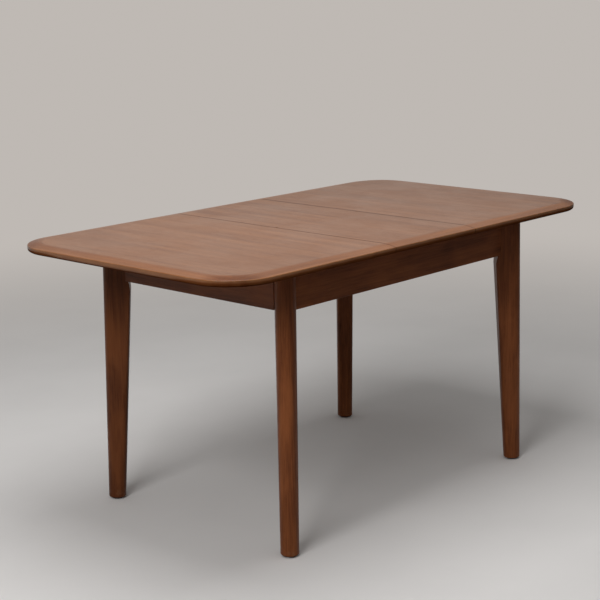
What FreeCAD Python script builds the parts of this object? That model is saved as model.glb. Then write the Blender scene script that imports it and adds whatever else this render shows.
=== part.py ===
import FreeCAD, Part
import os
import re
import Sketcher
from FreeCAD import Placement, Rotation, Vector

# Butterfly leaf dining table, drawn out with its leaf in place.
# Millimetres. +X runs along the table, +Y to its rear side, +Z up.
# The origin is on the floor, under the middle of the top.

SIZES = {
    # The whole table
    "table_length": 1500,
    "table_width": 820,
    "table_height": 750,
    "leaf_length": 340,
    # Top: flat field with a solid edging whose upper face falls away to the rim
    "top_thickness": 22,
    "corner_radius": 126,
    "edging_width": 37,
    "edging_drop": 5,
    "edging_soften": 10,
    "rim_upper_round": 2.5,
    "rim_lower_round": 9,
    "glue_line": 0.1,
    "seam_gap": 0.8,
    "fold_gap": 0.3,
    # Legs, set on the diagonals, measured from the middle of the foot
    "leg_inset_end": 262,
    "leg_inset_side": 85,
    "foot_diameter": 47,
    "foot_inner_round": 20,
    "foot_arris": 2.5,
    "leg_thickness": 51,
    "leg_depth": 73,
    "leg_inner_round": 4,
    "leg_lean": 9.5,
    "leg_head_lean": 11.5,
    "shoulder_height": 590,
    "shoulder_radius": 75,
    "shoulder_cut": 6,
    # Glides under the feet
    "glide_diameter": 32,
    "glide_height": 4,
    "glide_round": 1.5,
    "stem_diameter": 6,
    "stem_length": 20,
    "stem_ease": 0.1,
    # Aprons
    "apron_inset": 14,
    "apron_thickness": 20,
    "apron_height": 110,
    "apron_arris": 1.5,
    "quirk_width": 2,
    "quirk_depth": 4,
    "frame_clearance": 0.5,
    # Corner blocks and the bolts that pull the legs against them
    "block_rise": 4,
    "block_height": 50,
    "block_run": 38,
    "block_ease": 0.2,
    "bolt_diameter": 8,
    "bolt_ease": 0.2,
    "bolt_spacing": 26,
    "bolt_grip": 34,
    "bolt_end": 13,
    "washer_diameter": 20,
    "washer_thickness": 2,
    "nut_circle": 15,
    "nut_height": 7,
    # Fixed rails with a dovetail groove on each side, and the runners on them
    "rail_to_apron": 41,
    "rail_width": 24,
    "rail_height": 39.5,
    "groove_depth": 7,
    "groove_mouth": 14,
    "groove_base": 19,
    "slide_clearance": 0.3,
    "tongue_ease": 0.7,
    "runner_width": 20.5,
    "runner_seat": 0.2,
    "runner_reach": 60,
    "runner_end_gap": 6,
    "slide_travel": 30,
    "peg_diameter": 8,
    "peg_drop": 13,
    "peg_socket": 14,
    "peg_ease": 0.1,
    "peg_gap": 1,
    # Cross rails either side of the leaf well, and their angle brackets
    "cross_rail_gap": 3,
    "cross_rail_thickness": 22,
    "cross_rail_drop": 87,
    "cross_rail_side_gap": 7,
    "angle_run": 32,
    "angle_thickness": 2.5,
    "angle_height": 28,
    "angle_rise": 8,
    # Leaf pivot
    "pivot_setback": 102,
    "pivot_drop": 16,
    "pin_diameter": 8,
    "pin_ease": 0.1,
    "pin_head": 3,
    "pin_short": 3,
    "bush_diameter": 12,
    "bush_flange": 18,
    "bush_flange_thickness": 2,
    "bracket_setback": 4,
    "bracket_thickness": 3,
    "bracket_width": 44,
    "bracket_flange": 36,
    "bracket_eye": 11,
    # Fold hinges let into the leaf's ends, with the pin just above the surface
    "hinge_rise": 0.15,
    "hinge_plate_thickness": 1.5,
    "hinge_plate_length": 44,
    "hinge_plate_height": 13,
    "hinge_plate_inset": 1.6,
    "hinge_neck": 2,
    "hinge_eye": 1.1,
    "hinge_pin_diameter": 1,
    "hinge_ease": 0.1,
    "hinge_recess_ease": 0.3,
    # How far every cut runs past the face that it opens
    "overrun": 5,
}

FRONT_BACK = {"front": "-", "rear": ""}
LEFT_RIGHT_TURNS = {"left": 0, "right": 180}
# Signs of the foot's place, and the turn that points a leg's inner side at the middle
CORNERS = {
    "front_left": ("-", "-", 45),
    "front_right": ("", "-", 135),
    "rear_right": ("", "", 225),
    "rear_left": ("-", "", 315),
}
APRON_TURNS = {"front": 0, "right": 90, "rear": 180, "left": 270}
NUT_SIDES = 6
HINGE_LAYERS = 2

# Places worked out from the sizes
UNDERSIDE = "(table_height - top_thickness)"
FRAME_TOP = "(table_height - top_thickness - frame_clearance)"
FOOT_X = "(table_length / 2 - leg_inset_end)"
FOOT_Y = "(table_width / 2 - leg_inset_side)"
APRON_BOTTOM = f"({FRAME_TOP} - apron_height)"
APRON_INNER_X = f"({FOOT_X} - apron_inset - apron_thickness)"
APRON_INNER_Y = f"({FOOT_Y} - apron_inset - apron_thickness)"
LEG_HALF = "(leg_thickness / 2)"
LEG_OUTER = "(leg_lean - foot_diameter / 2)"
LEG_INNER = f"({LEG_OUTER} + leg_depth)"
LEG_HEAD = f"({LEG_INNER} - shoulder_cut)"
BLOCK_BOTTOM = f"({APRON_BOTTOM} + block_rise)"
BLOCK_NOSE = f"({LEG_HALF} - block_ease)"
BLOCK_WING = "((apron_inset + apron_thickness) * sqrt(2) + block_ease)"
BLOCK_BACK = f"({BLOCK_WING} + {BLOCK_NOSE} + block_run)"
BOLT_LEVELS = [
    f"({BLOCK_BOTTOM} + (block_height - bolt_spacing) / 2)",
    f"({BLOCK_BOTTOM} + (block_height + bolt_spacing) / 2)",
]
RAIL_Y = f"({APRON_INNER_Y} - rail_to_apron)"
RAIL_BOTTOM = f"({FRAME_TOP} - rail_height)"
RAIL_MIDDLE = f"({FRAME_TOP} - rail_height / 2)"
RUNNER_FACE = "(rail_width / 2 + slide_clearance)"
RUNNER_START = f"({APRON_INNER_X} - slide_travel - runner_end_gap)"
RUNNER_TOP = f"({UNDERSIDE} - runner_seat)"
LEAF_END = "(leaf_length / 2 - seam_gap)"
HALF_START = "(leaf_length / 2)"
CROSS_RAIL_X = "(leaf_length / 2 + cross_rail_gap)"
CROSS_RAIL_BOTTOM = f"({FRAME_TOP} - cross_rail_drop)"
CROSS_RAIL_HALF = (
    f"({RAIL_Y} - rail_width / 2 - slide_clearance - runner_width - cross_rail_side_gap)"
)
PEG_X = f"({CROSS_RAIL_X} - slide_travel - peg_gap - peg_diameter / 2)"
PIVOT_Z = f"({UNDERSIDE} - pivot_drop)"
BRACKET_X = f"({LEAF_END} - bracket_setback)"
HINGE_Z = "(table_height + hinge_rise)"
HINGE_SLANT = "(hinge_eye / sqrt(2))"
HINGE_NECK_LINE = f"({HINGE_Z} + 2 * {HINGE_SLANT})"
HINGE_LAYER = "(hinge_plate_thickness + hinge_ease)"

doc = FreeCAD.newDocument("ButterflyLeafTable")
sizes = doc.addObject("Spreadsheet::Sheet", "Sizes")
for row, (alias, number) in enumerate(SIZES.items(), 1):
    sizes.set(f"A{row}", alias)
    sizes.set(f"B{row}", str(number))
    sizes.setAlias(f"B{row}", alias)
doc.recompute()

nodes = []


def formula(text):
    """An expression in which each size's name reads its cell of the sheet."""
    def cell(word):
        return f"Sizes.{word.group()}" if word.group() in SIZES else word.group()

    return re.sub(r"[a-z]+(_[a-z]+)*", cell, text)


def amount(text):
    """What a formula comes to with the present sizes."""
    return float(sizes.evalExpression(formula(text)))


def new_body(name):
    return doc.addObject("PartDesign::Body", name)


def keep(piece, label):
    """Hand a finished piece in under its label."""
    piece.Label = label
    nodes.append(piece)
    return piece


def place(piece, x="0", y="0", z="0", turn=0):
    """Turn a piece about Z and put its own origin at a place."""
    piece.Placement = Placement(Vector(), Rotation(Vector(0, 0, 1), turn))
    for axis, text in zip("xyz", (x, y, z)):
        piece.setExpression(f"Placement.Base.{axis}", formula(text))
    return piece


def origin_feature(body, role):
    return next(item for item in body.Origin.OriginFeatures if item.Role == role)


def new_sketch(body, name, plane, level):
    """An empty sketch on one of the body's own planes, moved out along its normal."""
    sketch = body.newObject("Sketcher::SketchObject", name)
    sketch.AttachmentSupport = [(origin_feature(body, plane), "")]
    sketch.MapMode = "FlatFace"
    sketch.setExpression("AttachmentOffset.Base.z", formula(level))
    return sketch


def fix(sketch, rules):
    """Add the constraints, and bind each one that carries a formula."""
    for kind, where, text in rules:
        if text is None:
            sketch.addConstraint(Sketcher.Constraint(kind, *where))
            continue
        index = sketch.addConstraint(Sketcher.Constraint(kind, *where, amount(text)))
        sketch.setExpression(f"Constraints[{index}]", formula(text))


def drawn(body, name, plane, corners, level="0", closed=True):
    """A sketch through corners, each (x, y), or (x, y, centre x, centre y, turn)
    where the way to the next corner is an arc that turns left (1) or right (-1)."""
    sketch = new_sketch(body, name, plane, level)
    points = [Vector(amount(corner[0]), amount(corner[1]), 0) for corner in corners]
    count = len(corners) if closed else len(corners) - 1
    heads = []
    rules = []
    for index in range(count):
        corner = corners[index]
        here = points[index]
        there = points[(index + 1) % len(points)]
        if len(corner) == 2:
            sketch.addGeometry(Part.LineSegment(here, there), False)
            heads.append((1, 2))
            continue
        centre = Vector(amount(corner[2]), amount(corner[3]), 0)
        first, last = (here, there) if corner[4] > 0 else (there, here)
        circle = Part.Circle(centre, Vector(0, 0, 1), (here - centre).Length)
        arc = Part.ArcOfCircle(circle, circle.parameter(first), circle.parameter(last))
        sketch.addGeometry(arc, False)
        heads.append((1, 2) if corner[4] > 0 else (2, 1))
        chord = there - here
        if abs(chord.y) > abs(chord.x):
            rules.append(("DistanceX", (index, 3), corner[2]))
        else:
            rules.append(("DistanceY", (index, 3), corner[3]))
    for index in range(count):
        following = (index + 1) % count
        if closed or following:
            joint = (index, heads[index][1], following, heads[following][0])
            rules.append(("Coincident", joint, None))
        rules.append(("DistanceX", (index, heads[index][0]), corners[index][0]))
        rules.append(("DistanceY", (index, heads[index][0]), corners[index][1]))
    if not closed:
        rules.append(("DistanceX", (count - 1, heads[-1][1]), corners[-1][0]))
        rules.append(("DistanceY", (count - 1, heads[-1][1]), corners[-1][1]))
    fix(sketch, rules)
    return sketch


def circles(body, name, plane, places, diameter, level="0"):
    """A sketch of equal circles."""
    sketch = new_sketch(body, name, plane, level)
    rules = []
    for index, (x, y) in enumerate(places):
        centre = Vector(amount(x), amount(y), 0)
        circle = Part.Circle(centre, Vector(0, 0, 1), amount(diameter) / 2)
        sketch.addGeometry(circle, False)
        rules.append(("DistanceX", (index, 3), x))
        rules.append(("DistanceY", (index, 3), y))
        rules.append(("Diameter", (index,), diameter))
    fix(sketch, rules)
    return sketch


def pad(body, sketch, length):
    """Raise a sketch along its normal."""
    feature = body.newObject("PartDesign::Pad", f"{sketch.Name}Pad")
    feature.Profile = sketch
    feature.setExpression("Length", formula(length))
    return feature


def pocket(body, sketch, length, upwards=False):
    """Cut a sketch into the body against its normal, or along it, and see that it cuts."""
    doc.recompute()
    before = body.Shape.Volume
    feature = body.newObject("PartDesign::Pocket", f"{sketch.Name}Pocket")
    feature.Profile = sketch
    feature.setExpression("Length", formula(length))
    feature.Reversed = upwards
    doc.recompute()
    if body.Shape.Volume >= before:
        raise RuntimeError(f"{sketch.Name} cuts nothing")
    return feature


def revolve(body, sketch, axis):
    """Turn a sketch once round one of the body's own axes."""
    feature = body.newObject("PartDesign::Revolution", f"{sketch.Name}Turned")
    feature.Profile = sketch
    feature.ReferenceAxis = (origin_feature(body, axis), [""])
    return feature


def round_edges(body, radius, wanted):
    """Fillet the edges whose middle the test picks."""
    doc.recompute()
    solid = body.Tip
    names = []
    for number, edge in enumerate(solid.Shape.Edges, 1):
        if wanted(edge.valueAt((edge.FirstParameter + edge.LastParameter) / 2)):
            names.append(f"Edge{number}")
    feature = body.newObject("PartDesign::Fillet", f"{body.Name}Round")
    feature.Base = (solid, names)
    feature.setExpression("Radius", formula(radius))
    return feature


def group(pieces, label):
    """Several like solids in one node."""
    bundle = doc.addObject("Part::Compound", label)
    bundle.Links = pieces
    return keep(bundle, label)


def mirrored(piece, name, normal):
    twin = doc.addObject("Part::Mirroring", name)
    twin.Source = piece
    twin.Normal = normal
    return twin


def turned_pin(name, diameter, length, x, y, z):
    """A plain round pin that runs along +X from a place."""
    pin = doc.addObject("Part::Cylinder", name)
    pin.setExpression("Radius", formula(f"({diameter}) / 2"))
    pin.setExpression("Height", formula(length))
    pin.Placement = Placement(Vector(), Rotation(Vector(0, 1, 0), 90))
    for axis, text in zip("xyz", (x, y, z)):
        pin.setExpression(f"Placement.Base.{axis}", formula(text))
    return pin


# Legs
def leg_section(half, outer, inner, inner_round):
    """Half-round nose outside, flat sides, flat inner face with rounded corners."""
    nose = f"{outer} + {half}"
    flat = f"{inner} - {inner_round}"
    side = f"{half} - {inner_round}"
    return [
        (nose, half, nose, "0", 1),
        (nose, f"-({half})"),
        (flat, f"-({half})", flat, f"-({side})", 1),
        (inner, f"-({side})"),
        (inner, side, flat, side, 1),
        (flat, half),
    ]


def leg(corner):
    """A tapering leg whose section turns from round at the foot to a plank at the head."""
    sign_x, sign_y, turn = CORNERS[corner]
    body = new_body(f"Leg_{corner}")
    sole_half = "(foot_diameter / 2 - foot_arris)"
    sole = leg_section(sole_half, f"-{sole_half}", sole_half, "(foot_inner_round - foot_arris)")
    foot_half = "(foot_diameter / 2)"
    foot = leg_section(foot_half, f"-{foot_half}", foot_half, "foot_inner_round")
    shoulder = leg_section(LEG_HALF, LEG_OUTER, LEG_INNER, "leg_inner_round")
    head = leg_section(
        LEG_HALF, "(leg_head_lean - foot_diameter / 2)", LEG_INNER, "leg_inner_round"
    )
    taper = body.newObject("PartDesign::AdditiveLoft", f"{body.Name}Taper")
    taper.Profile = drawn(body, f"{body.Name}Sole", "XY_Plane", sole, "glide_height")
    taper.Sections = [
        drawn(body, f"{body.Name}Foot", "XY_Plane", foot, "glide_height + foot_arris"),
        drawn(body, f"{body.Name}Shoulder", "XY_Plane", shoulder, "shoulder_height"),
        drawn(body, f"{body.Name}Head", "XY_Plane", head, FRAME_TOP),
    ]
    taper.Ruled = True

    # The inner side is cut back above the shoulder, in a curve that runs up behind the aprons
    rise = "sqrt(shoulder_radius * shoulder_radius - (shoulder_radius - shoulder_cut)^2)"
    centre = f"{LEG_INNER} - shoulder_radius"
    clear = f"{LEG_INNER} + overrun"
    across = f"({LEG_HALF} + overrun)"
    cut_back = [
        (LEG_INNER, "shoulder_height", centre, "shoulder_height", 1),
        (LEG_HEAD, f"shoulder_height + {rise}"),
        (LEG_HEAD, f"{FRAME_TOP} + overrun"),
        (clear, f"{FRAME_TOP} + overrun"),
        (clear, "shoulder_height"),
    ]
    pocket(body, drawn(body, f"{body.Name}Cut", "XZ_Plane", cut_back, across), f"2 * {across}")

    stem_bore = "stem_diameter + 2 * stem_ease"
    stem = circles(body, f"{body.Name}Stem", "XY_Plane", [("0", "0")], stem_bore, "glide_height")
    pocket(body, stem, "stem_length + stem_ease", upwards=True)
    bores = circles(
        body,
        f"{body.Name}Bores",
        "YZ_Plane",
        [("0", level) for level in BOLT_LEVELS],
        "bolt_diameter + 2 * bolt_ease",
        LEG_HEAD,
    )
    pocket(body, bores, "bolt_grip + bolt_ease")
    return keep(place(body, f"{sign_x}{FOOT_X}", f"{sign_y}{FOOT_Y}", turn=turn), f"leg_{corner}")


def glide(corner):
    """A round glide with a stem that presses up into the foot."""
    sign_x, sign_y = CORNERS[corner][:2]
    body = new_body(f"Glide_{corner}")
    rim = "glide_diameter / 2"
    profile = [
        ("0", "0"),
        (f"{rim} - glide_round", "0", f"{rim} - glide_round", "glide_round", 1),
        (rim, "glide_round"),
        (rim, "glide_height"),
        ("stem_diameter / 2", "glide_height"),
        ("stem_diameter / 2", "glide_height + stem_length"),
        ("0", "glide_height + stem_length"),
    ]
    revolve(body, drawn(body, f"{body.Name}Profile", "XZ_Plane", profile), "Z_Axis")
    return place(body, f"{sign_x}{FOOT_X}", f"{sign_y}{FOOT_Y}")


for corner in CORNERS:
    leg(corner)
group([glide(corner) for corner in CORNERS], "foot_glides")


# Aprons, with ends cut at 45 degrees to butt on the flat sides of the legs, and a quirk,
# a narrow shadow groove, beside each leg
def apron(side):
    body = new_body(f"Apron_{side}")
    run, reach = (FOOT_X, FOOT_Y) if side in FRONT_BACK else (FOOT_Y, FOOT_X)
    outer = f"({run} - apron_inset - leg_thickness / sqrt(2))"
    inner = f"({outer} - apron_thickness)"
    step = f"({outer} - quirk_depth)"
    quirk = "(quirk_width * sqrt(2))"
    face = f"({reach} - apron_inset)"
    plan = [
        (f"{quirk} - {outer}", f"-{face}"),
        (f"{outer} - {quirk}", f"-{face}"),
        (f"{step} - {quirk}", f"quirk_depth - {face}"),
        (step, f"quirk_depth - {face}"),
        (inner, f"apron_thickness - {face}"),
        (f"-{inner}", f"apron_thickness - {face}"),
        (f"-{step}", f"quirk_depth - {face}"),
        (f"{quirk} - {step}", f"quirk_depth - {face}"),
    ]
    pad(body, drawn(body, f"{body.Name}Plan", "XY_Plane", plan, APRON_BOTTOM), "apron_height")
    bottom = amount(APRON_BOTTOM)
    face_at = amount(f"-{face}")
    near = SIZES["apron_arris"]
    round_edges(
        body, "apron_arris", lambda at: abs(at.z - bottom) < near and abs(at.y - face_at) < near
    )
    return keep(place(body, turn=APRON_TURNS[side]), f"apron_{side}")


for side in APRON_TURNS:
    apron(side)


# Corner blocks, with a nose between the apron ends that meets the leg
def corner_block(corner):
    sign_x, sign_y, turn = CORNERS[corner]
    body = new_body(f"Block_{corner}")
    waist = f"({BLOCK_WING} + {BLOCK_NOSE})"
    wing = f"({BLOCK_BACK} - {BLOCK_WING})"
    plan = [
        (LEG_HEAD, f"-{BLOCK_NOSE}"),
        (waist, f"-{BLOCK_NOSE}"),
        (BLOCK_BACK, f"-{wing}"),
        (BLOCK_BACK, wing),
        (waist, BLOCK_NOSE),
        (LEG_HEAD, BLOCK_NOSE),
    ]
    pad(body, drawn(body, f"{body.Name}Plan", "XY_Plane", plan, BLOCK_BOTTOM), "block_height")
    bores = circles(
        body,
        f"{body.Name}Bores",
        "YZ_Plane",
        [("0", level) for level in BOLT_LEVELS],
        "bolt_diameter + 2 * bolt_ease",
        BLOCK_BACK,
    )
    pocket(body, bores, f"{BLOCK_BACK} - {LEG_HEAD}")
    return keep(
        place(body, f"{sign_x}{FOOT_X}", f"{sign_y}{FOOT_Y}", turn=turn), f"corner_block_{corner}"
    )


def bolt_set(corner, number):
    """A hanger bolt through a corner block into the leg, with its washer and nut."""
    sign_x, sign_y, turn = CORNERS[corner]
    level = BOLT_LEVELS[number]
    at_foot = (f"{sign_x}{FOOT_X}", f"{sign_y}{FOOT_Y}", level, turn)
    bore = "bolt_diameter + 2 * bolt_ease"
    middle = [("0", "0")]

    def ring(name, thickness, start, sides):
        body = new_body(f"{name}_{corner}_{number}")
        if sides:
            blank = new_sketch(body, f"{body.Name}Blank", "YZ_Plane", start)
            hexagon(blank, "nut_circle / 2")
        else:
            blank = circles(body, f"{body.Name}Blank", "YZ_Plane", middle, "washer_diameter", start)
        pad(body, blank, thickness)
        hole = circles(body, f"{body.Name}Hole", "YZ_Plane", middle, bore, f"{start} + {thickness}")
        pocket(body, hole, thickness)
        return place(body, *at_foot)

    shank = new_body(f"Bolt_{corner}_{number}")
    start = f"({LEG_HEAD} - bolt_grip)"
    round_bar = circles(shank, f"{shank.Name}Bar", "YZ_Plane", middle, "bolt_diameter", start)
    pad(shank, round_bar, f"{BLOCK_BACK} + bolt_end - {start}")
    washer = ring("Washer", "washer_thickness", BLOCK_BACK, 0)
    nut = ring("Nut", "nut_height", f"({BLOCK_BACK} + washer_thickness)", NUT_SIDES)
    return place(shank, *at_foot), washer, nut


def hexagon(sketch, radius):
    """A regular outline of six sides about the sketch's origin."""
    shares = [(1, 0), (0.5, 1), (-0.5, 1), (-1, 0), (-0.5, -1), (0.5, -1)]
    rise = f"({radius}) * sqrt(3) / 2"
    texts = [(f"{x} * ({radius})", f"{y} * {rise}") for x, y in shares]
    points = [Vector(amount(x), amount(y), 0) for x, y in texts]
    rules = []
    for here, there in zip(points, points[1:] + points[:1]):
        sketch.addGeometry(Part.LineSegment(here, there), False)
    for index, (x, y) in enumerate(texts):
        rules.append(("Coincident", (index, 2, (index + 1) % NUT_SIDES, 1), None))
        rules.append(("DistanceX", (index, 1), x))
        rules.append(("DistanceY", (index, 1), y))
    fix(sketch, rules)


for corner in CORNERS:
    corner_block(corner)
bolt_sets = [bolt_set(corner, number) for corner in CORNERS for number in range(len(BOLT_LEVELS))]
for pieces, label in zip(zip(*bolt_sets), ("leg_bolts", "leg_bolt_washers", "leg_bolt_nuts")):
    group(list(pieces), label)


# Fixed rails: a bar with a dovetail groove in each side
def slide_rail(side):
    body = new_body(f"SlideRail_{side}")
    edge = "(rail_width / 2)"
    web = "(rail_width / 2 - groove_depth)"
    mouth = "groove_mouth / 2"
    base = "groove_base / 2"
    section = [
        (f"-{edge}", RAIL_BOTTOM),
        (edge, RAIL_BOTTOM),
        (edge, f"{RAIL_MIDDLE} - {mouth}"),
        (web, f"{RAIL_MIDDLE} - {base}"),
        (web, f"{RAIL_MIDDLE} + {base}"),
        (edge, f"{RAIL_MIDDLE} + {mouth}"),
        (edge, FRAME_TOP),
        (f"-{edge}", FRAME_TOP),
        (f"-{edge}", f"{RAIL_MIDDLE} + {mouth}"),
        (f"-{web}", f"{RAIL_MIDDLE} + {base}"),
        (f"-{web}", f"{RAIL_MIDDLE} - {base}"),
        (f"-{edge}", f"{RAIL_MIDDLE} - {mouth}"),
    ]
    sketch = drawn(body, f"{body.Name}Section", "YZ_Plane", section, f"-{APRON_INNER_X}")
    pad(body, sketch, f"2 * {APRON_INNER_X}")
    return keep(place(body, y=f"{FRONT_BACK[side]}{RAIL_Y}"), f"slide_rail_{side}")


# Runners: the dovetail tongue rides in the rail's groove
def runner(half, side):
    body = new_body(f"Runner_{half}_{side}")
    outer = f"({RUNNER_FACE} + runner_width)"
    tip = "(rail_width / 2 - groove_depth + slide_clearance)"
    root = "(groove_mouth - tongue_ease) / 2"
    wide = "(groove_base - tongue_ease) / 2"
    section = [
        (RUNNER_FACE, RAIL_BOTTOM),
        (outer, RAIL_BOTTOM),
        (outer, RUNNER_TOP),
        (RUNNER_FACE, RUNNER_TOP),
        (RUNNER_FACE, f"{RAIL_MIDDLE} + {root}"),
        (tip, f"{RAIL_MIDDLE} + {wide}"),
        (tip, f"{RAIL_MIDDLE} - {wide}"),
        (RUNNER_FACE, f"{RAIL_MIDDLE} - {root}"),
    ]
    sketch = drawn(body, f"{body.Name}Section", "YZ_Plane", section, f"-{RUNNER_START}")
    pad(body, sketch, f"{RUNNER_START} + runner_reach")
    socket = circles(
        body,
        f"{body.Name}Socket",
        "XY_Plane",
        [(f"-{PEG_X}", f"{RUNNER_FACE} + runner_width / 2")],
        "peg_diameter + 2 * peg_ease",
        RAIL_BOTTOM,
    )
    pocket(body, socket, "peg_socket + peg_ease", upwards=True)
    place(body, y=f"{FRONT_BACK[side]}{RAIL_Y}", turn=LEFT_RIGHT_TURNS[half])
    return keep(body, f"runner_{half}_{side}")


def stop_peg(half, side):
    """A dowel under a runner that meets the cross rail when the half is fully out."""
    body = new_body(f"Peg_{half}_{side}")
    sketch = circles(
        body,
        f"{body.Name}Round",
        "XY_Plane",
        [(f"-{PEG_X}", f"{RUNNER_FACE} + runner_width / 2")],
        "peg_diameter",
        f"{RAIL_BOTTOM} - peg_drop",
    )
    pad(body, sketch, "peg_drop + peg_socket")
    return place(body, y=f"{FRONT_BACK[side]}{RAIL_Y}", turn=LEFT_RIGHT_TURNS[half])


for side in FRONT_BACK:
    slide_rail(side)
for half in LEFT_RIGHT_TURNS:
    for side in FRONT_BACK:
        runner(half, side)
    group([stop_peg(half, side) for side in FRONT_BACK], f"stop_pegs_{half}")


# Cross rails: high between the runners, low where the rails and runners pass over them
def cross_rail():
    body = new_body("CrossRail")
    low = RAIL_BOTTOM
    section = [
        (f"-{APRON_INNER_Y}", CROSS_RAIL_BOTTOM),
        (APRON_INNER_Y, CROSS_RAIL_BOTTOM),
        (APRON_INNER_Y, low),
        (CROSS_RAIL_HALF, low),
        (CROSS_RAIL_HALF, FRAME_TOP),
        (f"-{CROSS_RAIL_HALF}", FRAME_TOP),
        (f"-{CROSS_RAIL_HALF}", low),
        (f"-{APRON_INNER_Y}", low),
    ]
    sketch = drawn(body, "CrossRailSection", "YZ_Plane", section, CROSS_RAIL_X)
    pad(body, sketch, "cross_rail_thickness")
    bore = circles(
        body,
        "CrossRailBore",
        "YZ_Plane",
        [("pivot_setback", PIVOT_Z)],
        "bush_diameter + 2 * pin_ease",
        f"{CROSS_RAIL_X} + cross_rail_thickness",
    )
    pocket(body, bore, "cross_rail_thickness")
    return keep(body, "cross_rail_right")


def angle_bracket():
    """A steel angle between a cross rail's end and the long apron."""
    body = new_body("Angle")
    corner_x = f"({CROSS_RAIL_X} + cross_rail_thickness)"
    plan = [
        (corner_x, APRON_INNER_Y),
        (corner_x, f"{APRON_INNER_Y} - angle_run"),
        (f"{corner_x} + angle_thickness", f"{APRON_INNER_Y} - angle_run"),
        (f"{corner_x} + angle_thickness", f"{APRON_INNER_Y} - angle_thickness"),
        (f"{corner_x} + angle_run", f"{APRON_INNER_Y} - angle_thickness"),
        (f"{corner_x} + angle_run", APRON_INNER_Y),
    ]
    pad(
        body,
        drawn(body, "AnglePlan", "XY_Plane", plan, f"{CROSS_RAIL_BOTTOM} + angle_rise"),
        "angle_height",
    )
    return body


right_rail = cross_rail()
keep(mirrored(right_rail, "CrossRailLeft", Vector(1, 0, 0)), "cross_rail_left")
rear_right_angle = angle_bracket()
rear_angles = [rear_right_angle, mirrored(rear_right_angle, "AngleRearLeft", Vector(1, 0, 0))]
front_angles = [mirrored(angle, f"{angle.Name}Front", Vector(0, 1, 0)) for angle in rear_angles]
group(rear_angles + front_angles, "cross_rail_brackets")


# Top halves: a flat field, and an edging swept round its three free sides
def edging_section(rim):
    """The edging's section, with its rim at a distance from the middle."""
    inner = f"({rim} - edging_width)"
    slope = "(edging_drop / (edging_width - rim_upper_round - edging_soften / 2))"
    dip = f"(edging_soften * {slope} / 2)"
    bow = f"((edging_soften^2 + {dip}^2) / (2 * {dip}))"
    shelf = "(table_height - edging_drop)"
    lower_x = f"({rim} - rim_lower_round)"
    lower_z = f"({UNDERSIDE} + rim_lower_round)"
    upper_x = f"({rim} - rim_upper_round)"
    upper_z = f"({shelf} - rim_upper_round)"
    return [
        (inner, UNDERSIDE),
        (lower_x, UNDERSIDE, lower_x, lower_z, 1),
        (rim, lower_z),
        (rim, upper_z, upper_x, upper_z, 1),
        (upper_x, shelf),
        (f"{inner} + edging_soften", f"table_height - {dip}", inner, f"table_height - {bow}", 1),
        (inner, "table_height"),
    ]


def round_corner_outline(inset):
    """The way round a half's three free sides, from its rear seam corner to its front one."""
    far = f"-(table_length / 2 - ({inset}))"
    side = f"(table_width / 2 - ({inset}))"
    radius = f"(corner_radius - ({inset}))"
    return [
        (f"-{HALF_START}", side),
        (f"{far} + {radius}", side, f"{far} + {radius}", f"{side} - {radius}", 1),
        (far, f"{side} - {radius}"),
        (far, f"{radius} - {side}", f"{far} + {radius}", f"{radius} - {side}", 1),
        (f"{far} + {radius}", f"-{side}"),
        (f"-{HALF_START}", f"-{side}"),
    ]


def top_half(half):
    turn = LEFT_RIGHT_TURNS[half]
    field = new_body(f"TopField_{half}")
    plan = round_corner_outline("edging_width + glue_line")
    pad(field, drawn(field, f"{field.Name}Plan", "XY_Plane", plan, UNDERSIDE), "top_thickness")
    keep(place(field, turn=turn), f"top_field_{half}")

    edging = new_body(f"TopEdging_{half}")
    path = drawn(
        edging, f"{edging.Name}Path", "XY_Plane", round_corner_outline("0"), UNDERSIDE, closed=False
    )
    section = drawn(
        edging, f"{edging.Name}Section", "YZ_Plane", edging_section("table_width / 2"), f"-{HALF_START}"
    )
    sweep = edging.newObject("PartDesign::AdditivePipe", f"{edging.Name}Sweep")
    sweep.Profile = section
    sweep.Spine = (path, [""])
    keep(place(edging, turn=turn), f"top_edging_{half}")


for half in LEFT_RIGHT_TURNS:
    top_half(half)


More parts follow.
